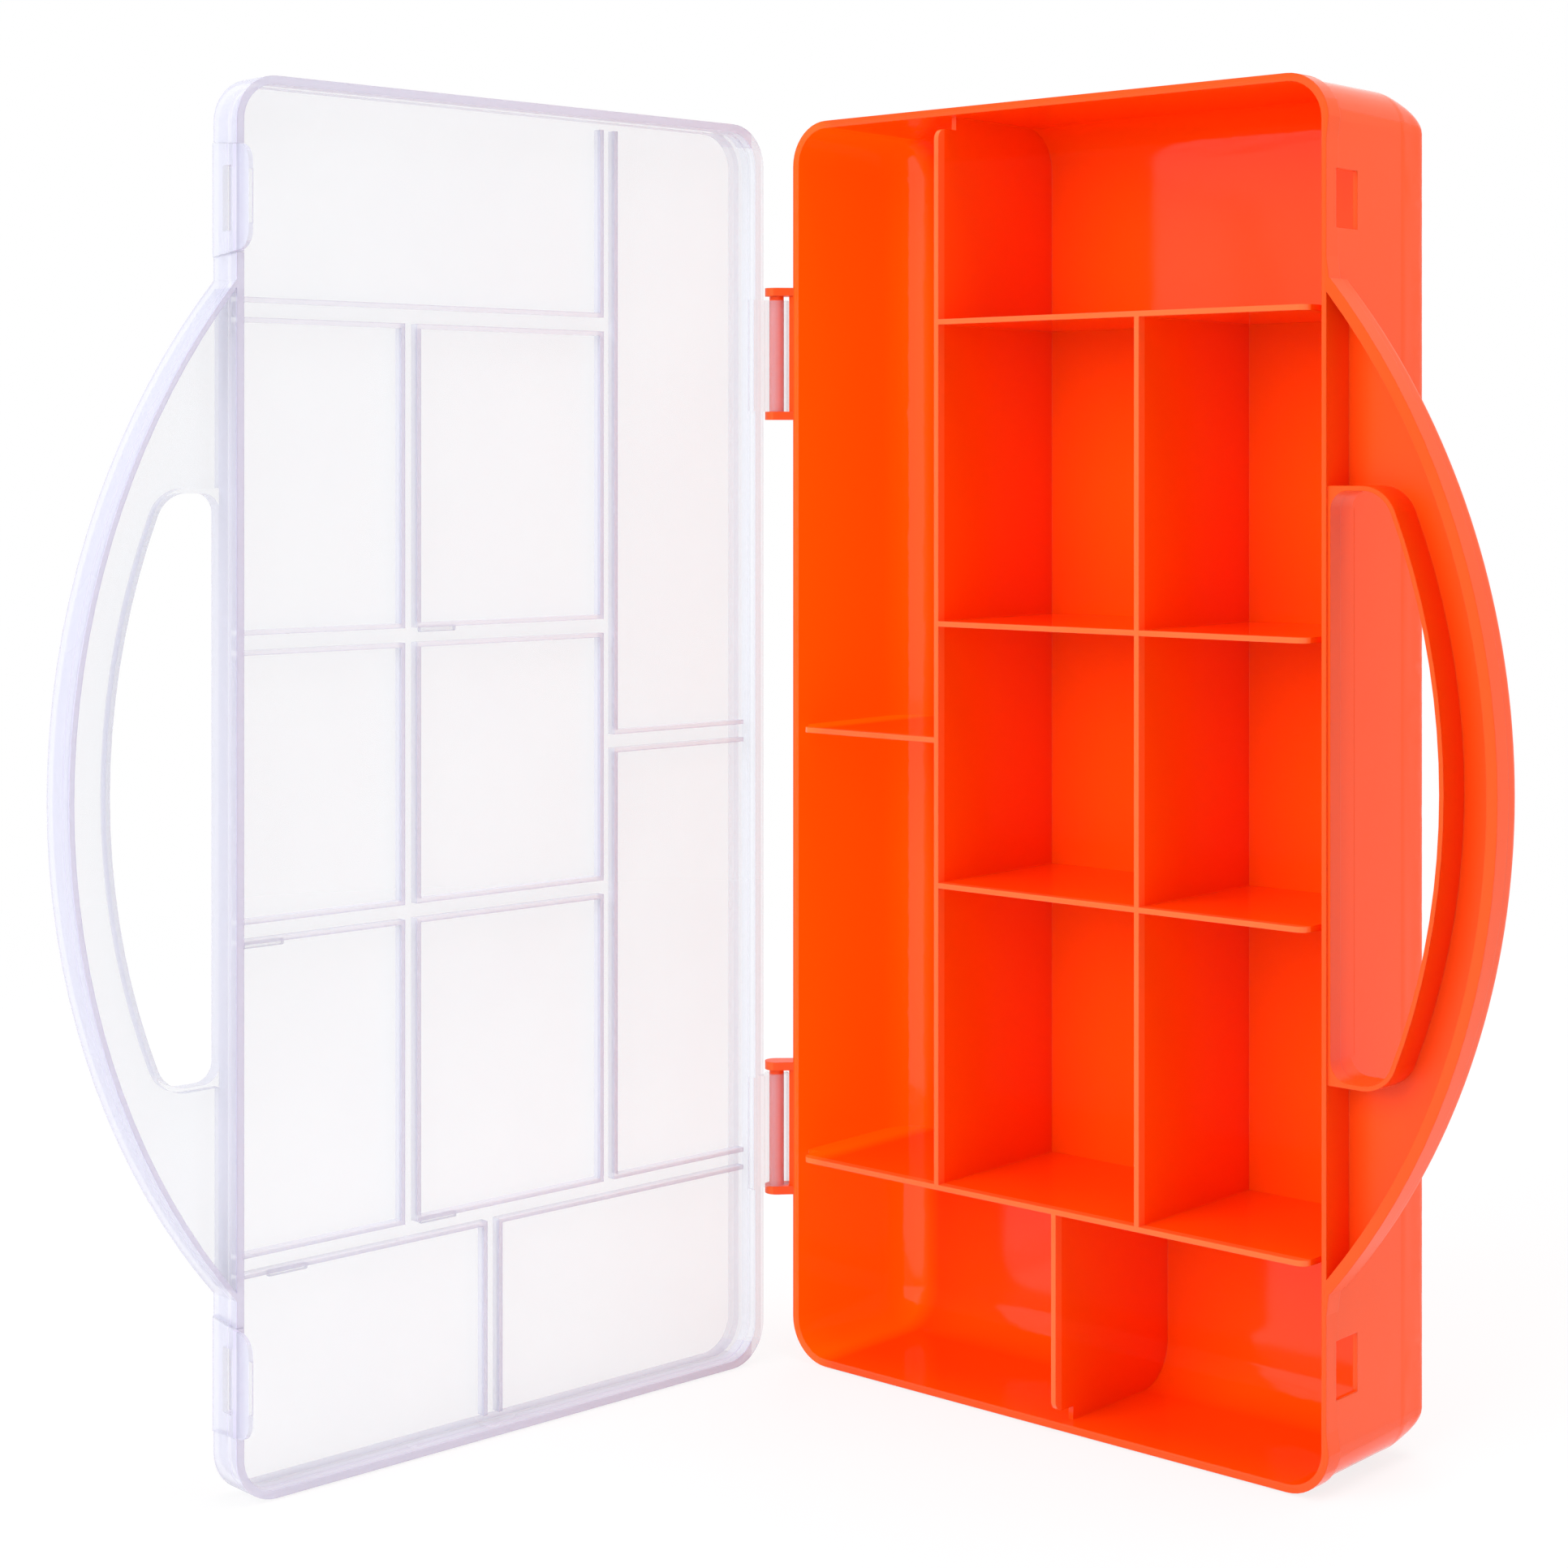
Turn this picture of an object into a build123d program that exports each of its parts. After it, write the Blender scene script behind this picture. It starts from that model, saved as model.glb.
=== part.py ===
# Small parts box, open like a book and standing on its short end.
# Two mouldings: a compartment tray and a lid that clips on the tray's hinge pins.
# Millimetres. Z is up along the box's long side, X runs across the tray from its hinge side
# to its handle side, and the tray opens towards -Y. The origin is the middle of the lower end
# face of the tray's rim band, on which the open box stands.
import os
from math import cos, radians, sin, sqrt

from build123d import *

os.makedirs("parts", exist_ok=True)

# Whole box
length = 290.0
width = 145.0
corner_radius = 10.0
opening_angle = 95.0

# Tray shell
tray_depth = 40.5
tray_wall = 1.1
tray_floor = 1.2
tray_draft = 0.4
end_floor_radius = 10.5
hinge_floor_radius = 9.0
grip_floor_radius = 2.5
band_proud = 0.6
band_height = 4.6
floor_corner_radius = 1.0

# Dividers, as distances from the tray's hinge side and from its middle height
divider_top = 1.2
divider_draft = 0.35
divider_rise = 2.8
column_wall = 45.4
middle_wall = 99.8
foot_wall = 78.0
upper_shelf = 96.9
row_spacing = 29.3
column_shelf = 3.2
end_notch = 3.0
grip_notch = 2.1
hinge_notch = 3.3
notch_level = 3.6
notch_round = 2.5

# Lid shell
lid_inset = 0.5
lid_height = 9.5
lid_panel = 1.2
lid_field_depth = 4.7
lid_skirt = 1.7
lid_hinge_skirt = 2.6
lid_edge_round = 0.8
rim_gap = 0.15
rib_pitch = 4.1
rib_thickness = 1.0
rib_height = 2.2
rib_end_gap = 2.3
rib_hinge_gap = 1.5

# Carrying handle, half on the tray and half on the lid
handle_reach = 37.6
handle_half_length = 103.0
grip_width = 13.0
finger_half_length = 59.7
finger_inner_round = 4.0
finger_outer_round = 7.0
tray_handle_depth = 10.0
tray_handle_wall = 1.8
lid_handle_wall = 1.1
handle_web = 1.2
handle_round = 2.5
collar_wall = 1.0
tray_collar_gap = 0.6
lid_collar_height = 2.0

# Hinge
pin_offset = 4.4
pin_rise = 0.9
pin_radius = 1.7
pin_clearance = 0.05
hinge_offset = 91.0
ear_gap = 27.2
ear_thickness = 1.9
ear_radius = 2.75
ear_foot = 7.0
ear_seat = 0.2
ear_root = 0.8
hinge_setback = 0.05
clip_play = 1.1
lid_sag = 0.5
clip_wall = 1.15
clip_mouth = 110.0
clip_mouth_turn = 135.0
clip_arm_reach = 8.0
clip_arm_height = 2.0
pad_clearance = 0.2
pad_height = 5.0
pad_root = 0.4

# Latches
latch_offset = 119.2
latch_root_width = 23.2
latch_tip_width = 20.6
latch_corner = 4.0
latch_drop = 6.0
latch_proud = 0.25
latch_flare = 0.8
latch_side_gap = 0.15
latch_wall_gap = 0.15
latch_root_step = 0.2
barb_length = 10.8
barb_reach = 0.95
barb_land = 0.4
barb_top = 4.2
barb_height = 1.5
barb_root = 0.3
window_length = 13.3
window_low = 1.1
window_high = 4.5
slot_length = 12.1
slot_top = 3.8
slot_height = 8.4
recess_half_width = 12.0
recess_ramp = 4.5

# Making: how far forms run into or past each other, and how finely the floor's roll is drawn
overlap = 1.0
face_bite = 0.1
rib_bite = 0.3
loft_steps = 5

# Worked-out sizes, measured across from the tray's middle
half_width = width / 2
half_length = length / 2
wall_face = half_width - band_proud
finger_face = wall_face - face_bite
hinge_x = -half_width - pin_offset
clip_radius = pin_radius + pin_clearance + clip_wall
lid_face = half_width - lid_inset
lid_inside = lid_face - lid_skirt
latch_root = lid_inside - latch_root_step
arc_radius = (handle_half_length**2 + handle_reach**2) / (2 * handle_reach)
arc_middle = half_width + handle_reach - arc_radius
field_top = lid_field_depth + lid_panel
through = 2 * length

# The tray's rim plane, and the lid's rim plane closed and then swung open on the pins
rim_y = -band_height / 2
RIM = Plane(origin=(0, rim_y, half_length), x_dir=(1, 0, 0), z_dir=(0, -1, 0))
CLOSED = Plane(origin=(0, rim_y - rim_gap, half_length - lid_sag), x_dir=(1, 0, 0), z_dir=(0, -1, 0))
pin_axis = Location((hinge_x, rim_y - pin_rise, 0))
swing = pin_axis * Location((0, 0, 0), (0, 0, -opening_angle)) * pin_axis.inverse()
LID = Plane(swing * CLOSED.location)

# Divider lines, and the compartments between them. None stands for an outer wall.
column = column_wall - half_width
middle = middle_wall - half_width
foot = foot_wall - half_width
rows = (-upper_shelf, -row_spacing, row_spacing, upper_shelf)
compartments = [
    (None, column, -upper_shelf, column_shelf),
    (None, column, column_shelf, None),
    (column, None, upper_shelf, None),
    (None, foot, None, -upper_shelf),
    (foot, None, None, -upper_shelf),
]
for low, high in zip(rows, rows[1:]):
    compartments.append((column, middle, low, high))
    compartments.append((middle, None, low, high))


def cross_section(plane, along):
    """A plane square to the long side. Its y runs from the tray towards the closed lid."""
    moved = plane.origin + plane.y_dir * along
    return Plane(origin=moved, x_dir=plane.x_dir, z_dir=-plane.y_dir)


def slab(plane, x_low, x_high, y_low, y_high, amount, mode=Mode.ADD):
    """A straight block on a plane, given by its limits."""
    with BuildSketch(plane) as shape:
        with Locations(((x_low + x_high) / 2, (y_low + y_high) / 2)):
            Rectangle(x_high - x_low, y_high - y_low)
    extrude(shape.sketch, amount=amount, mode=mode)


def rolled(radius, start, drop):
    """How far a wall has rolled in, a drop below the start of the largest floor radius."""
    down = max(0.0, drop - (start - radius))
    return radius - sqrt(max(0.0, radius**2 - down**2))


def tray_blank(inset, depth):
    """The tray's outer form, or a form inside it: drafted walls that roll into the floor."""
    wide = width - 2 * inset
    long = length - 2 * inset
    corner = corner_radius - inset
    thinner = inset - band_proud
    end_roll = end_floor_radius - thinner
    hinge_roll = hinge_floor_radius - thinner
    grip_roll = max(grip_floor_radius - thinner, grip_floor_radius / 3)
    straight = depth - end_roll
    shrink = straight * sin(radians(tray_draft)) / cos(radians(tray_draft))
    with BuildPart() as blank:
        with BuildSketch(RIM):
            RectangleRounded(wide, long, corner)
        extrude(amount=-straight, taper=tray_draft)
        for step in range(loft_steps + 1):
            drop = end_roll * sin(radians(90 * step / loft_steps))
            end_in = rolled(end_roll, end_roll, drop)
            hinge_in = rolled(hinge_roll, end_roll, drop)
            grip_in = rolled(grip_roll, end_roll, drop)
            with BuildSketch(RIM.offset(-straight - drop)):
                with Locations(((hinge_in - grip_in) / 2, 0)):
                    RectangleRounded(
                        wide - 2 * shrink - hinge_in - grip_in,
                        long - 2 * shrink - 2 * end_in,
                        max(floor_corner_radius, corner - shrink - end_in),
                    )
        loft()
    return blank.part


def divider_plate(x_low, x_high, y_low, y_high):
    """One drafted divider, from its top edge down into the floor."""
    with BuildSketch(RIM.offset(divider_rise)) as shape:
        with Locations(((x_low + x_high) / 2, (y_low + y_high) / 2)):
            Rectangle(max(x_high - x_low, divider_top), max(y_high - y_low, divider_top))
    extrude(shape.sketch, amount=-(divider_rise + tray_depth), taper=-divider_draft)


def make_dividers(core):
    """The dividers. Near the outer walls they stop below the rim, and elsewhere above it."""
    inner = band_proud + tray_wall
    left = -half_width + inner + hinge_notch
    right = half_width - inner - grip_notch
    end = half_length - inner - end_notch
    with BuildPart() as raised:
        base = RIM.offset(-notch_level - overlap)
        slab(base, left, right, -end, end, overlap + notch_level + divider_rise)
        fillet(raised.faces().sort_by(Axis.Y)[0].edges(), notch_round)
    with BuildPart() as space:
        add(core)
        slab(RIM, -half_width, half_width, -half_length, half_length, -notch_level, Mode.SUBTRACT)
        add(raised.part)
    with BuildPart() as plates:
        divider_plate(column, column, -upper_shelf, half_length)
        divider_plate(middle, middle, -upper_shelf, upper_shelf)
        divider_plate(foot, foot, -half_length, -upper_shelf)
        divider_plate(-half_width, half_width, -upper_shelf, -upper_shelf)
        divider_plate(-half_width, column, column_shelf, column_shelf)
        for row in rows[1:]:
            divider_plate(column, half_width, row, row)
        add(space.part, mode=Mode.INTERSECT)
    return plates.part


def bow(inset, start):
    """The handle's outline: the part of a large circle outside a line along the box."""
    with BuildSketch(mode=Mode.PRIVATE) as outline:
        with Locations((arc_middle, 0)):
            Circle(arc_radius - inset)
        with Locations((start - arc_radius, 0)):
            Rectangle(2 * arc_radius, through, mode=Mode.SUBTRACT)
    return outline.sketch


def finger_form(plane, side, grow, amount, mode):
    """The finger hole or the collar round it: straight along the box, bowed along the grip."""
    half = finger_half_length + grow
    with BuildSketch(plane) as shape:
        with Locations((arc_middle, 0)):
            Circle(arc_radius - grip_width + grow)
        with Locations((side + arc_radius / 2, 0)):
            Rectangle(arc_radius, 2 * half, mode=Mode.INTERSECT)
        ends = shape.vertices().filter_by(lambda corner: abs(corner.Y) > half - face_bite)
        fillet(ends.group_by(Axis.X)[-1], finger_outer_round + grow)
        if mode == Mode.SUBTRACT:
            fillet(shape.vertices().group_by(Axis.X)[0], finger_inner_round)
    extrude(shape.sketch, amount=amount, mode=mode)


def tray_handle_block():
    """The tray's half of the handle as a solid block with a rounded outer edge."""
    with BuildPart() as block:
        with BuildSketch(RIM):
            add(bow(band_proud, wall_face - tray_wall / 2))
        extrude(amount=-tray_handle_depth)
        far_face = block.faces().sort_by(Axis.Y)[-1]
        fillet(far_face.edges().filter_by(GeomType.CIRCLE), handle_round)
    return block.part


def tray_handle():
    """Hollow the tray's handle half and cut the finger hole through it."""
    with BuildSketch(RIM.offset(-tray_handle_depth + handle_web)) as shape:
        add(bow(band_proud + tray_handle_wall, wall_face))
    extrude(shape.sketch, amount=tray_handle_depth, mode=Mode.SUBTRACT)
    base = RIM.offset(-tray_handle_depth)
    inside_wall = wall_face - tray_wall / 2
    below_band = tray_handle_depth - band_height
    finger_form(base, inside_wall, collar_wall, tray_handle_depth - tray_collar_gap, Mode.ADD)
    finger_form(base.offset(-overlap), finger_face, 0, below_band + overlap, Mode.SUBTRACT)
    finger_form(RIM.offset(-band_height), half_width, 0, band_height + overlap, Mode.SUBTRACT)


def tray_band():
    """The proud band round the rim, let in where each latch tongue lies."""
    with BuildSketch(RIM) as shape:
        RectangleRounded(width, length, corner_radius)
        add(bow(0, wall_face - overlap))
        for row in (-latch_offset, latch_offset):
            inner = recess_half_width
            outer = recess_half_width + recess_ramp
            with BuildLine():
                Polyline(
                    (wall_face, row - inner),
                    (wall_face, row + inner),
                    (half_width, row + outer),
                    (half_width + overlap, row + outer),
                    (half_width + overlap, row - outer),
                    (half_width, row - outer),
                    close=True,
                )
            make_face(mode=Mode.SUBTRACT)
    extrude(shape.sketch, amount=-band_height)


def latch_slot(row):
    """The slot through the tray's wall that takes a latch barb."""
    plane = RIM.offset(-slot_top)
    low = row - slot_length / 2
    high = row + slot_length / 2
    inner = wall_face - tray_wall - overlap
    slab(plane, inner, half_width + overlap, low, high, -slot_height, Mode.SUBTRACT)


def hinge_ear(along):
    """A plate that carries one end of a hinge pin, webbed back to the tray's wall."""
    seat = -half_width + ear_seat
    foot = ear_foot - 2 * hinge_setback
    foot_middle = -ear_foot / 2 - hinge_setback
    with BuildSketch(cross_section(RIM, along)) as shape:
        with Locations((hinge_x, pin_rise)):
            Circle(ear_radius)
        with Locations((seat - ear_seat / 2, foot_middle)):
            Rectangle(ear_seat, foot)
        make_hull()
        with Locations((seat + ear_root / 2, foot_middle)):
            Rectangle(ear_root, foot)
    extrude(shape.sketch, amount=ear_thickness / 2, both=True)


def hinge_station(row):
    """Two ears, the pin between them, and the pad on the band behind the clip."""
    for side in (-1, 1):
        hinge_ear(row + side * (ear_gap + ear_thickness) / 2)
    with BuildSketch(cross_section(RIM, row)) as shape:
        with Locations((hinge_x, pin_rise)):
            Circle(pin_radius)
    extrude(shape.sketch, amount=(ear_gap + ear_thickness) / 2, both=True)
    pad_face = hinge_x + clip_radius + pad_clearance
    low = row - ear_gap / 2
    high = row + ear_gap / 2
    pad_end = -wall_face + pad_root
    slab(RIM.offset(-hinge_setback), pad_face, pad_end, low, high, -pad_height)


def lid_outline(inset):
    """The lid's outline with the handle's bow."""
    with BuildSketch(mode=Mode.PRIVATE) as outline:
        RectangleRounded(width - 2 * inset, length - 2 * inset, corner_radius - inset)
        add(bow(inset, lid_face - overlap))
    return outline.sketch


def lid_hollow():
    """Hollow the lid from both sides of its sunk panel, and its handle half from the rim side."""
    with BuildSketch(LID) as shape:
        with Locations(((lid_hinge_skirt - lid_skirt) / 2, 0)):
            RectangleRounded(
                2 * lid_face - lid_skirt - lid_hinge_skirt,
                length - 2 * lid_inset - 2 * lid_skirt,
                corner_radius - lid_inset - lid_skirt,
            )
    field = shape.sketch
    extrude(field, amount=lid_field_depth, mode=Mode.SUBTRACT)
    raised_field = field.moved(Location(LID.z_dir * field_top))
    extrude(raised_field, amount=lid_height, dir=LID.z_dir, mode=Mode.SUBTRACT)
    web = lid_height - lid_panel
    with BuildSketch(LID) as shape:
        add(bow(lid_inset + lid_handle_wall, lid_face))
    extrude(shape.sketch, amount=web, mode=Mode.SUBTRACT)
    collar = LID.offset(web - lid_collar_height)
    collar_height = lid_collar_height + lid_panel / 2
    finger_form(collar, lid_face - lid_skirt / 2, collar_wall, collar_height, Mode.ADD)
    finger_form(LID.offset(-overlap), lid_face, 0, lid_height + 2 * overlap, Mode.SUBTRACT)


def rib_loop(x_low, x_high, y_low, y_high):
    """Ribs along the divider sides of one compartment, closed at its corners."""
    near = (rib_pitch - rib_thickness) / 2
    far = (rib_pitch + rib_thickness) / 2
    end = half_length - lid_inset - lid_skirt - rib_end_gap
    left = -lid_face + lid_hinge_skirt + rib_hinge_gap if x_low is None else x_low + near
    right = lid_inside + rib_bite if x_high is None else x_high - near
    bottom = -end if y_low is None else y_low + near
    top = end if y_high is None else y_high - near
    with Locations(((left + right) / 2, (bottom + top) / 2)):
        Rectangle(right - left, top - bottom)
    left = -half_width if x_low is None else x_low + far
    right = half_width if x_high is None else x_high - far
    bottom = -half_length if y_low is None else y_low + far
    top = half_length if y_high is None else y_high - far
    with Locations(((left + right) / 2, (bottom + top) / 2)):
        Rectangle(right - left, top - bottom, mode=Mode.SUBTRACT)


def lid_ribs():
    """Double ribs that straddle the divider tops when the box is shut."""
    with BuildSketch(LID.offset(lid_field_depth - rib_height)) as shape:
        for compartment in compartments:
            rib_loop(*compartment)
    extrude(shape.sketch, amount=rib_height + rib_bite)


def hinge_clip(row):
    """A snap clip on the pin, with its arm running over the lid's rim."""
    rise = pin_rise - rim_gap
    with BuildSketch(cross_section(LID, row)) as shape:
        with Locations((hinge_x, rise)):
            Circle(clip_radius)
        arm_end = hinge_x + clip_arm_reach
        with Locations(((hinge_x + arm_end) / 2, clip_arm_height / 2)):
            Rectangle(arm_end - hinge_x, clip_arm_height)
        with Locations((hinge_x, rise)):
            Circle(pin_radius + pin_clearance, mode=Mode.SUBTRACT)
        with BuildLine():
            mouth = 4 * clip_radius
            first = radians(clip_mouth_turn - clip_mouth / 2)
            last = radians(clip_mouth_turn + clip_mouth / 2)
            Polyline(
                (hinge_x, rise),
                (hinge_x + mouth * cos(first), rise + mouth * sin(first)),
                (hinge_x - mouth, rise + mouth),
                (hinge_x + mouth * cos(last), rise + mouth * sin(last)),
                close=True,
            )
        make_face(mode=Mode.SUBTRACT)
    extrude(shape.sketch, amount=(ear_gap - clip_play) / 2, both=True)


def latch_front(row, gap, corner):
    """The tongue's outline seen from outside, as a plate across the handle side."""
    root = latch_root_width / 2 + gap
    tip = latch_tip_width / 2 + gap
    start = LID.origin + LID.x_dir * latch_root
    with BuildSketch(Plane(origin=start, x_dir=LID.y_dir, z_dir=LID.x_dir)) as front:
        with BuildLine():
            Polyline(
                (row - root, lid_height),
                (row + root, lid_height),
                (row + tip, -latch_drop),
                (row - tip, -latch_drop),
                close=True,
            )
        make_face()
        if corner:
            fillet(front.vertices().group_by(Axis.Y)[0], corner)
    return front.sketch


def latch_tongue(row):
    """The latch's plate, flared outwards, with its finger window and barb."""
    outer_root = lid_face + latch_proud
    inner = wall_face + latch_wall_gap
    extrude(latch_front(row, 0, latch_corner), amount=lid_height)
    with BuildSketch(cross_section(LID, row)) as shape:
        with BuildLine():
            Polyline(
                (lid_inside, lid_height),
                (lid_inside, field_top),
                (latch_root, field_top),
                (latch_root, lid_field_depth),
                (lid_inside, lid_field_depth),
                (lid_inside, 0),
                (inner, 0),
                (inner, -latch_drop),
                (outer_root + latch_flare, -latch_drop),
                (outer_root, lid_height - lid_edge_round),
                (outer_root - lid_edge_round, lid_height),
                close=True,
            )
        make_face()
    extrude(shape.sketch, amount=latch_root_width, both=True, mode=Mode.INTERSECT)
    low = row - window_length / 2
    high = row + window_length / 2
    window = LID.offset(window_low)
    inside = latch_root - overlap
    outside = outer_root + latch_flare + overlap
    slab(window, inside, outside, low, high, window_high - window_low, Mode.SUBTRACT)
    with BuildSketch(cross_section(LID, row)) as shape:
        with BuildLine():
            Polyline(
                (inner + barb_root, -barb_top),
                (inner - barb_reach, -barb_top),
                (inner - barb_reach, -barb_top - barb_land),
                (inner, -barb_top - barb_height),
                (inner + barb_root, -barb_top - barb_height),
                close=True,
            )
        make_face()
    extrude(shape.sketch, amount=barb_length / 2, both=True)


# Tray
outer_form = tray_blank(band_proud, tray_depth)
inner_form = tray_blank(band_proud + tray_wall, tray_depth - tray_floor)
core_form = tray_blank(band_proud + tray_wall / 2, tray_depth - tray_floor / 2)
dividers = make_dividers(core_form)
handle_block = tray_handle_block()
with BuildPart() as tray:
    add(outer_form)
    add(handle_block)
    tray_band()
    tray_handle()
    hinge_station(-hinge_offset)
    hinge_station(hinge_offset)
    add(inner_form, mode=Mode.SUBTRACT)
    latch_slot(-latch_offset)
    latch_slot(latch_offset)
    add(dividers)

# Lid
with BuildPart() as lid:
    with BuildSketch(LID):
        add(lid_outline(lid_inset))
    extrude(amount=lid_height)
    panel_face = lid.faces().sort_by(Axis((0, 0, 0), LID.z_dir))[-1]
    chamfer(panel_face.edges(), lid_edge_round)
    lid_hollow()
    lid_ribs()
    hinge_clip(-hinge_offset)
    hinge_clip(hinge_offset)
    for row in (-latch_offset, latch_offset):
        extrude(latch_front(row, latch_side_gap, 0), amount=lid_height, mode=Mode.SUBTRACT)

# Upper latch tongue
with BuildPart() as latch_upper:
    latch_tongue(latch_offset)

# Lower latch tongue
with BuildPart() as latch_lower:
    latch_tongue(-latch_offset)

tray.part.label = "tray"
export_step(tray.part, "parts/tray.step")
lid.part.label = "lid"
export_step(lid.part, "parts/lid.step")
latch_upper.part.label = "latch_upper"
export_step(latch_upper.part, "parts/latch_upper.step")
latch_lower.part.label = "latch_lower"
export_step(latch_lower.part, "parts/latch_lower.step")
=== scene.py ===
# %% [markdown]
# # A parts box in orange and milky clear plastic
# The box has two mouldings: a deep orange tray with dividers, and a flat clear lid. They are
# already modelled as solids, so this lesson dresses them: it gives each its plastic, adds the
# small pads that the mould leaves, and lights the box as in a catalogue picture.

# %% Load the solids
import math

import bpy
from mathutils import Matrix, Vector


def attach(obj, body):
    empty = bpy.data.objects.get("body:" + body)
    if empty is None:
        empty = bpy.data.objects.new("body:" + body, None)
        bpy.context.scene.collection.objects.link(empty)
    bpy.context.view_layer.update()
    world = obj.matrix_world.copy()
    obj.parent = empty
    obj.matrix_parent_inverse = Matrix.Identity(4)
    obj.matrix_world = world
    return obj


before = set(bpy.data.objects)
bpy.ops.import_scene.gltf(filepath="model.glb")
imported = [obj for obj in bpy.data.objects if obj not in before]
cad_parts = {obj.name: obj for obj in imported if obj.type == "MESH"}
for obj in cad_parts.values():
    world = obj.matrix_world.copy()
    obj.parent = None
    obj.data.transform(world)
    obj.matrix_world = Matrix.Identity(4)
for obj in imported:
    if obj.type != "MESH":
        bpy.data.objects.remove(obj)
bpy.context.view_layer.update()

mm = 0.001

# %% [markdown]
# ## Camera
# The picture was taken level with the table, and its upright edges stay parallel, so the camera
# isn't tilted. The frame is shifted down instead, as a view camera does for buildings. The long
# lens keeps the perspective calm.

# %% Camera
camera_place = Vector((386.8, -517.4, 210.0)) * mm
level_tilt = math.radians(90)
camera_turn = math.radians(41.9)
lens_length = 67.42
frame_shift = -0.2038

camera_data = bpy.data.cameras.new("camera")
camera_data.lens = lens_length
camera_data.shift_y = frame_shift
camera = bpy.data.objects.new("camera", camera_data)
camera.location = camera_place
camera.rotation_euler = (level_tilt, 0, camera_turn)
bpy.context.scene.collection.objects.link(camera)
bpy.context.scene.camera = camera
print("camera", [round(v, 3) for v in camera.location])

# %% [markdown]
# ## Shader maths
# A material is a graph of nodes, and a formula such as 1 - mask * 0.3 takes several of them.
# The class below wraps one output socket, so that the formula can be written as a formula.
# Every other kind of node is made by one method, which takes its settings and its inputs. An
# input is given by its name, or by the letter i and its number where a node repeats a name.


# %% A wrapper for sockets
class Wire:
    """One output socket of a node, or the start of a new material graph."""

    def __init__(self, tree, socket=None):
        self.tree = tree
        self.socket = socket

    def node(self, kind, settings=None, output=0, **inputs):
        made = self.tree.nodes.new("ShaderNode" + kind)
        for name, value in (settings or {}).items():
            setattr(made, name, value)
        for name, value in inputs.items():
            index = int(name[1:]) if name[1:].isdigit() else name.replace("_", " ")
            if isinstance(value, Wire):
                self.tree.links.new(value.socket, made.inputs[index])
            else:
                made.inputs[index].default_value = value
        return Wire(self.tree, made.outputs[output] if made.outputs else None)

    def math(self, operation, *values):
        inputs = {f"i{n}": value for n, value in enumerate(values)}
        return self.node("Math", {"operation": operation}, **inputs)

    def __add__(self, other):
        return self.math("ADD", self, other)

    def __radd__(self, other):
        return self.math("ADD", other, self)

    def __sub__(self, other):
        return self.math("SUBTRACT", self, other)

    def __rsub__(self, other):
        return self.math("SUBTRACT", other, self)

    def __mul__(self, other):
        return self.math("MULTIPLY", self, other)

    def __rmul__(self, other):
        return self.math("MULTIPLY", other, self)

    def __gt__(self, other):
        return self.math("GREATER_THAN", self, other)

    def __lt__(self, other):
        return self.math("LESS_THAN", self, other)

    def size(self):
        """The value without its sign."""
        return self.math("ABSOLUTE", self)

    def clamp(self):
        """The value, held between 0 and 1."""
        return self.node("Clamp", Value=self)

    def part(self, axis):
        """The X, Y or Z of a vector."""
        return self.node("SeparateXYZ", output=axis, Vector=self)


def new_material(name):
    """An empty material, and the wire that its nodes start from."""
    material = bpy.data.materials.new(name)
    material.use_nodes = True
    material.node_tree.nodes.clear()
    return material, Wire(material.node_tree)


def finish_material(start, surface):
    start.node("OutputMaterial", Surface=surface)


print("wrapper", Wire.__name__)

# %% [markdown]
# ## Mixing colours
# Both plastics are coloured by place: a mask is 1 along a stretch of the box and 0 elsewhere. They
# could be painted on unwrapped meshes, but nearly all walls of a moulding are flat, so a few
# limits on the place do as well. The place is read in the object's own coordinates, so a mask
# stays on its piece when the lid turns. A Math node would turn a colour grey, so two colours are
# mixed by a node of their own.


# %% A mix of two colours
def mix_colors(start, share, first, second):
    """The first colour where the share is 0, and the second where it is 1."""
    settings = {"data_type": "RGBA"}
    return start.node("Mix", settings, output=2, i0=share, i6=first, i7=second)


print("helper", mix_colors.__name__)

# %% [markdown]
# ## Orange plastic
# The tray is polypropylene with so much orange in it that it is nearly opaque. Inside, the mould
# was polished, so the walls mirror the white room at a low angle. Outside, the mould has a fine
# spark texture that spreads the reflection. These could be two materials, but they are one
# plastic on one solid, so a mask chooses between the two finishes. The outside is also painted a
# darker orange, a painted shade that tones down its light. The narrow edges of the dividers and of
# the rim are painted a paler orange, a painted highlight for the light that their edges catch. The
# long wall beside the hinge is thin and lit from behind, so a warm glow is painted on it as an
# emission, and the rest of the inside gets a very weak painted red glow. No edge of a moulding is
# sharp, so a Bevel node rounds the edges in the shading.

# %% Places on the tray
inner_side = 71.5 * mm
middle_height = 145 * mm
inner_end = 144 * mm
divider_level = -2.9 * mm
divider_start = -71 * mm
divider_end = 72 * mm
rim_level = -5.7 * mm
glow_start = -60 * mm
glow_end = -72.2 * mm
glow_slope = 200.0
print("tray inside", round(2 * inner_side / mm), "by", round(2 * inner_end / mm), "mm")

# %% Colours of the tray
first_orange = (0.96, 0.071, 0.0008, 1)
second_orange = (0.98, 0.081, 0.001, 1)
shaded_outer_orange = (0.84, 0.078, 0.002, 1)
edge_highlight_orange = (1.0, 0.13, 0.022, 1)
no_glow = (0, 0, 0, 1)
painted_inside_glow = (0.035, 0, 0, 1)
painted_wall_glow = (0.45, 0.045, 0.0, 1)
outer_shade_share = 0.4
rim_highlight_share = 0.7
print("orange", first_orange[:3])

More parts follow.
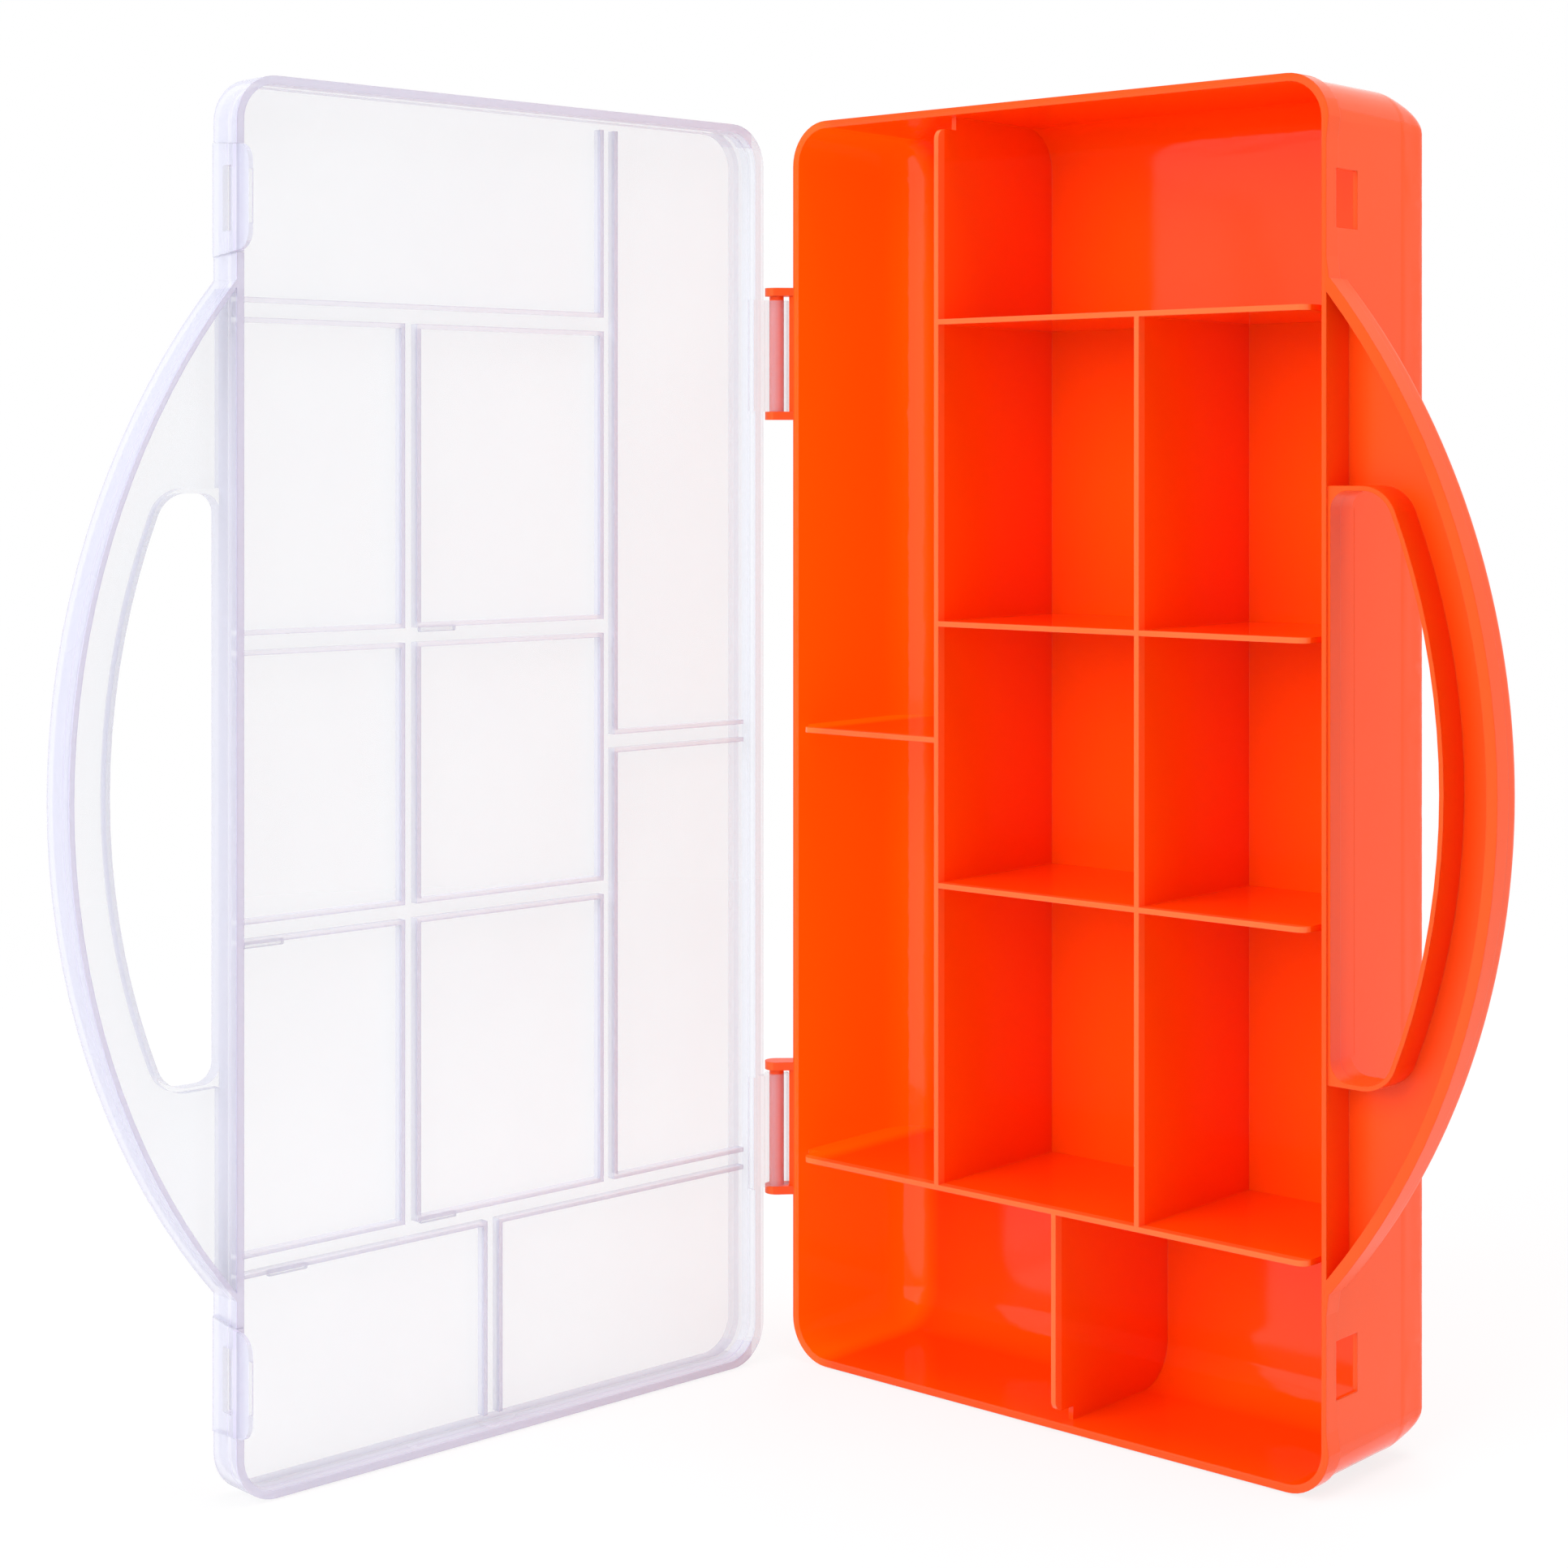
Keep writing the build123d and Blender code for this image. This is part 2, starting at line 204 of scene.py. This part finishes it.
# %% Finish of the tray
polished_rough = 0.07
flow_rough = 0.04
texture_rough = 0.25
grain_rough = 0.08
edge_radius = 0.3 * mm
grain_height = 0.04 * mm
flow_height = 0.4 * mm
print("roughness inside", polished_rough, "and outside", polished_rough + texture_rough)


# %% Orange tray plastic
def make_tray_plastic():
    material, start = new_material("orange_polypropylene")
    place = start.node("TexCoord", output="Object")
    x, y, z = (place.part(axis) for axis in "XYZ")
    past_ends = (z - middle_height).size() > inner_end
    outside = ((x > inner_side) + (x < -inner_side) + past_ends).clamp()
    cloud = start.node("TexNoise", Vector=place, Scale=18.0, Detail=3.0)
    grain = start.node("TexNoise", Vector=place, Scale=2600.0, Detail=2.0)
    flow = start.node("TexNoise", Vector=place, Scale=60.0, Detail=2.0)
    color = mix_colors(start, cloud, first_orange, second_orange)
    # Painted shade: the outside of the tray gets a darker orange.
    color = mix_colors(start, outside * outer_shade_share, color, shaded_outer_orange)
    # Painted highlight: the narrow edges of the dividers and of the rim get a paler orange.
    divider_edge_highlight = (y < divider_level) * (x > divider_start) * (x < divider_end)
    edge = (divider_edge_highlight + rim_highlight_share * (y < rim_level)).clamp()
    color = mix_colors(start, edge, color, edge_highlight_orange)
    outer_rough = outside * (texture_rough + grain_rough * grain)
    soft = start.node("Bevel", {"samples": 4}, Radius=edge_radius)
    fine = start.node("Bump", Height=grain, Strength=0.12, Distance=grain_height, Normal=soft)
    wavy = start.node("Bump", Height=flow, Strength=0.10, Distance=flow_height, Normal=fine)
    # Painted light: an emission glows warm on the thin hinge wall and very weak red inside.
    thin_wall = ((glow_start - x) * glow_slope).clamp() * (x > glow_end)
    glow = mix_colors(start, outside, painted_inside_glow, no_glow)
    surface = start.node(
        "BsdfPrincipled",
        Base_Color=color,
        Roughness=polished_rough + flow_rough * flow + outer_rough,
        Normal=wavy,
        IOR=1.42,
        Emission_Color=mix_colors(start, thin_wall, glow, painted_wall_glow),
        Emission_Strength=1.0,
    )
    finish_material(start, surface)
    return material


tray_plastic = make_tray_plastic()
print("material", tray_plastic.name, len(tray_plastic.node_tree.nodes), "nodes")

# %% [markdown]
# ## Milky clear plastic
# The lid is clear polypropylene with no dye. Looked at face on, its panel is almost invisible.
# Where the light runs along a wall, it gathers a soft lilac. A ray tracer shows that as a tangle
# of refractions, and the picture shows it as calm lines, so this material paints it by place
# instead, as painted light: a lilac colour with extra opacity. The panel is nearly open, the ribs'
# tops get a little of the painted lilac, and the walls' sides and the rim's narrow face get the
# most. The hinge clips and the wall beside them look clearer than the other walls, so less lilac
# is painted on them. A face counts as a wall's side when its normal is well off the lid's outward
# direction, which follows from the angle between the lid and the tray. The ribs' tops and the
# rim's face are found by their depth along that direction, from a point on the rim.

# %% Where the lid's faces lie
lid_angle = math.radians(95)
lid_out = Vector((-math.sin(lid_angle), -math.cos(lid_angle), 0))
lid_across = Vector((math.cos(lid_angle), -math.sin(lid_angle), 0))
rim_point = Vector((-82.86, -79.87, 0)) * mm
rim_low = -1.0 * mm
rim_high = 0.3 * mm
rib_top = 2.5 * mm
rib_top_margin = 0.2 * mm
clip_start = -81 * mm
clip_level = -9 * mm
hinge_wall_start = -2.9 * mm
hinge_wall_end = -12 * mm
print("the lid's outward direction", [round(v, 3) for v in lid_out])

# %% Colours and painted lilac of the lid
panel_tint = (0.66, 0.70, 0.79, 1)
painted_wall_lilac = (0.57, 0.55, 0.71, 1)
side_limit = 0.8
side_lilac = 0.52
rim_lilac = 0.72
rib_top_lilac = 0.4
clip_clearing = 0.7
hinge_wall_clearing = 0.6
panel_alpha = 0.10
haze_alpha = 0.05
lilac_alpha = 0.7
panel_rough = 0.22
haze_rough = 0.08
ripple_height = 0.3 * mm
print("densities", side_lilac, rim_lilac, rib_top_lilac)


# %% Clear lid plastic
def along(start, vector, direction):
    """The share of a vector that runs in a direction."""
    settings = {"operation": "DOT_PRODUCT"}
    return start.node("VectorMath", settings, output="Value", i0=vector, i1=tuple(direction))


def make_lid_plastic():
    material, start = new_material("clear_polypropylene")
    place = start.node("TexCoord", output="Object")
    x, y = (place.part(axis) for axis in "XY")
    facing = along(start, start.node("TexCoord", output="Normal"), lid_out).size()
    depth = along(start, place, lid_out) - lid_out.dot(rim_point)
    side = facing < side_limit
    rim = (depth < rim_high) * (depth > rim_low)
    top = (depth - rib_top).size() < rib_top_margin
    clip = (x > clip_start) * (y > clip_level)
    hinge_wall = (y < hinge_wall_start) * (y > hinge_wall_end)
    # Painted light: the walls' sides, the rim's face and the ribs' tops get a painted lilac.
    painted_lilac = side * side_lilac + rim * rim_lilac + top * rib_top_lilac
    painted_lilac = painted_lilac * (1 - clip_clearing * clip) * (1 - hinge_wall_clearing * hinge_wall)
    painted_lilac = painted_lilac.clamp()
    haze = start.node("TexNoise", Vector=place, Scale=30.0, Detail=3.0)
    ripple = start.node("TexNoise", Vector=place, Scale=45.0, Detail=1.0)
    surface = start.node(
        "BsdfPrincipled",
        Base_Color=mix_colors(start, painted_lilac, panel_tint, painted_wall_lilac),
        Roughness=panel_rough + haze_rough * haze,
        Normal=start.node("Bump", Height=ripple, Strength=0.08, Distance=ripple_height),
        IOR=1.3,
        Alpha=(panel_alpha + haze_alpha * haze + painted_lilac * lilac_alpha).clamp(),
    )
    finish_material(start, surface)
    return material


lid_plastic = make_lid_plastic()
print("material", lid_plastic.name, len(lid_plastic.node_tree.nodes), "nodes")

# %% [markdown]
# ## Ejector pads
# Pins push the lid out of its mould. Where a pin works beside a rib, it leaves a low flat pad at
# the rib's foot. Four of them can be seen below the ribs. A pad is a block with soft edges, so it
# starts as a cube, is scaled in edit mode and gets a bevel. It is made once and copied. Its height
# comes from the lid's own rib, which is found among the vertices of the ribs' tops.

# %% Where the ribs' edges lie
level_margin = 0.05 * mm
rib_levels = set()
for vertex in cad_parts["lid"].data.vertices:
    depth = (vertex.co - rim_point).dot(lid_out)
    if abs(depth - rib_top) < level_margin:
        rib_levels.add(round(vertex.co.z, 5))
print("heights of the ribs' edges", len(rib_levels))

# %% One ejector pad
pad_size = Vector((1.2, 9.4, 1.3)) * mm
pad_bevel = 0.25 * mm
smooth_angle = math.radians(35)


def make_pad():
    bpy.ops.object.select_all(action="DESELECT")
    bpy.ops.mesh.primitive_cube_add(size=1, location=(0, 0, 0))
    pad = bpy.context.active_object
    bpy.ops.object.mode_set(mode="EDIT")
    bpy.ops.mesh.select_all(action="SELECT")
    bpy.ops.transform.resize(value=pad_size)
    bpy.ops.mesh.bevel(offset=pad_bevel, segments=3, affect="EDGES")
    bpy.ops.object.mode_set(mode="OBJECT")
    bpy.ops.object.shade_smooth_by_angle(angle=smooth_angle)
    pad.data.materials.append(lid_plastic)
    return pad


first_pad = make_pad()
print("pad", len(first_pad.data.polygons), "faces")

# %% [markdown]
# ## Pads in their places
# Each place is a distance across the lid and a rough height, in millimetres. The exact height is
# that of the nearest rib's edge. A pad sinks into the panel and into the rib by the width of its
# bevel, so that no soft edge shows where they meet. Its place and turn are applied to its mesh,
# because the plastic's masks are measured in the same coordinates as the lid's.

# %% Pads at the ribs' feet
field_depth = 4.7 * mm
pad_places = ((19.3, 175.0), (63.0, 112.6), (19.1, 48.6), (57.2, 44.5))
pad_depth = field_depth - pad_size.x / 2 + pad_bevel
pad_drop = pad_size.z / 2 - pad_bevel
for number, (across, height) in enumerate(pad_places, start=1):
    pad = first_pad.copy()
    pad.data = first_pad.data.copy()
    pad.name = f"ejector_pad_{number}"
    bpy.context.scene.collection.objects.link(pad)
    rib_edge = min(rib_levels, key=lambda z: abs(z - height * mm))
    pad.location = rim_point + lid_out * pad_depth + lid_across * across * mm
    pad.location.z = rib_edge - pad_drop
    pad.rotation_euler.z = math.atan2(lid_out.y, lid_out.x)
    bpy.ops.object.select_all(action="DESELECT")
    pad.select_set(True)
    bpy.context.view_layer.objects.active = pad
    bpy.ops.object.transform_apply(location=True, rotation=True, scale=True)
    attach(pad, "lid")
    print(pad.name, "below the rib edge at", round(rib_edge / mm, 2), "mm")
bpy.data.objects.remove(first_pad)

# %% [markdown]
# ## Dressing the solids
# Every solid gets one material. The two latch tongues are part of the lid's moulding, so they
# share its plastic. The solids could be modelled anew, but they already have the true shape, so
# only their materials change.

# %% Dress the solids
for node, material in (
    ("tray", tray_plastic),
    ("lid", lid_plastic),
    ("latch_upper", lid_plastic),
    ("latch_lower", lid_plastic),
):
    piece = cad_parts[node]
    piece.data.materials.clear()
    piece.data.materials.append(material)
    print(node, len(piece.data.polygons), "faces")

# %% [markdown]
# ## Floor and room
# The picture has a plain white ground. Lamps that turn a plain sheet white would bleach the box,
# so the floor is a wide disc that glows for the camera and the mirrors, mixed with a little real
# white sheet, which keeps a trace of the box's shadow. The sheet's share fades with the distance,
# so that no horizon shows where the disc ends. The light that the disc spreads is that of the
# plain sheet, and the room is dimmer for spread light than it looks, so the box isn't flooded.


# %% Rays that see the background
def background_rays(start):
    """1 for rays from the camera, a mirror or a clear piece, and 0 for spread light."""
    camera_ray = start.node("LightPath", output="Is Camera Ray")
    mirror_ray = start.node("LightPath", output="Is Glossy Ray")
    clear_ray = start.node("LightPath", output="Is Transmission Ray")
    return (camera_ray + mirror_ray + clear_ray).clamp()


print("helper", background_rays.__name__)

# %% Floor
floor_radius = 1.4
floor_gap = 0.4 * mm
fade_start = 0.35
fade_slope = 2.0
near_glow = 0.82
white = (1, 1, 1, 1)
sheet_white = (0.86, 0.86, 0.87, 1)
bpy.ops.object.select_all(action="DESELECT")
bpy.ops.mesh.primitive_circle_add(
    vertices=96, radius=floor_radius, fill_type="NGON", location=(0, 0, -floor_gap)
)
floor = bpy.context.active_object
floor.name = "floor"
floor_material, start = new_material("white_floor")
place = start.node("TexCoord", output="Object")
distance = start.node("VectorMath", {"operation": "LENGTH"}, output="Value", i0=place)
far = ((distance - fade_start) * fade_slope).clamp()
share = background_rays(start) * (near_glow + (1 - near_glow) * far)
sheet = start.node("BsdfDiffuse", Color=sheet_white)
glow = start.node("Emission", Color=white, Strength=1.0)
finish_material(start, start.node("MixShader", i0=share, i1=sheet, i2=glow))
floor.data.materials.append(floor_material)
print("floor", floor_radius, "m in radius")

# %% Room light
room_strength = 0.36
world = bpy.data.worlds.new("room")
bpy.context.scene.world = world
world.use_nodes = True
world.node_tree.nodes.clear()
room = Wire(world.node_tree)
strength = room_strength + (1 - room_strength) * background_rays(room)
backdrop = room.node("Background", Color=white, Strength=strength)
room.node("OutputWorld", Surface=backdrop)
print("room", room_strength, "for spread light")

# %% [markdown]
# ## Lamps
# A catalogue picture is lit by large soft boxes. The front one does most of the work, the one
# above lights the upper faces, and two weak ones at the right and behind keep the sides from
# going dull. The camera and the mirrors don't see them, so the plastic mirrors only the even
# white room.

# %% Soft lamps
lamp_target = Vector((0, 0, 0.15))


def soft_lamp(name, place, size, power):
    """An area lamp that points at the middle of the tray."""
    lamp_data = bpy.data.lights.new(name, "AREA")
    lamp_data.shape = "RECTANGLE"
    lamp_data.size, lamp_data.size_y = size
    lamp_data.energy = power
    lamp = bpy.data.objects.new(name, lamp_data)
    lamp.location = place
    aim = lamp_target - Vector(place)
    lamp.rotation_euler = aim.to_track_quat("-Z", "Y").to_euler()
    lamp.visible_camera = False
    lamp.visible_glossy = False
    lamp.visible_transmission = False
    bpy.context.scene.collection.objects.link(lamp)
    print("lamp", name, power, "W")


soft_lamp("front_box", place=(-0.2, -1.8, 1.0), size=(1.6, 1.4), power=34)
soft_lamp("top_box", place=(0.3, 0.1, 1.7), size=(1.4, 1.0), power=20)
soft_lamp("right_box", place=(1.7, 0.35, 0.5), size=(0.8, 1.2), power=8)
soft_lamp("back_box", place=(-0.9, 1.7, 0.9), size=(1.2, 1.0), power=9)

# %% [markdown]
# The Standard view transform shows each colour as it is written. A film-like one would soften
# the orange.

bpy.context.scene.view_settings.view_transform = "Standard"
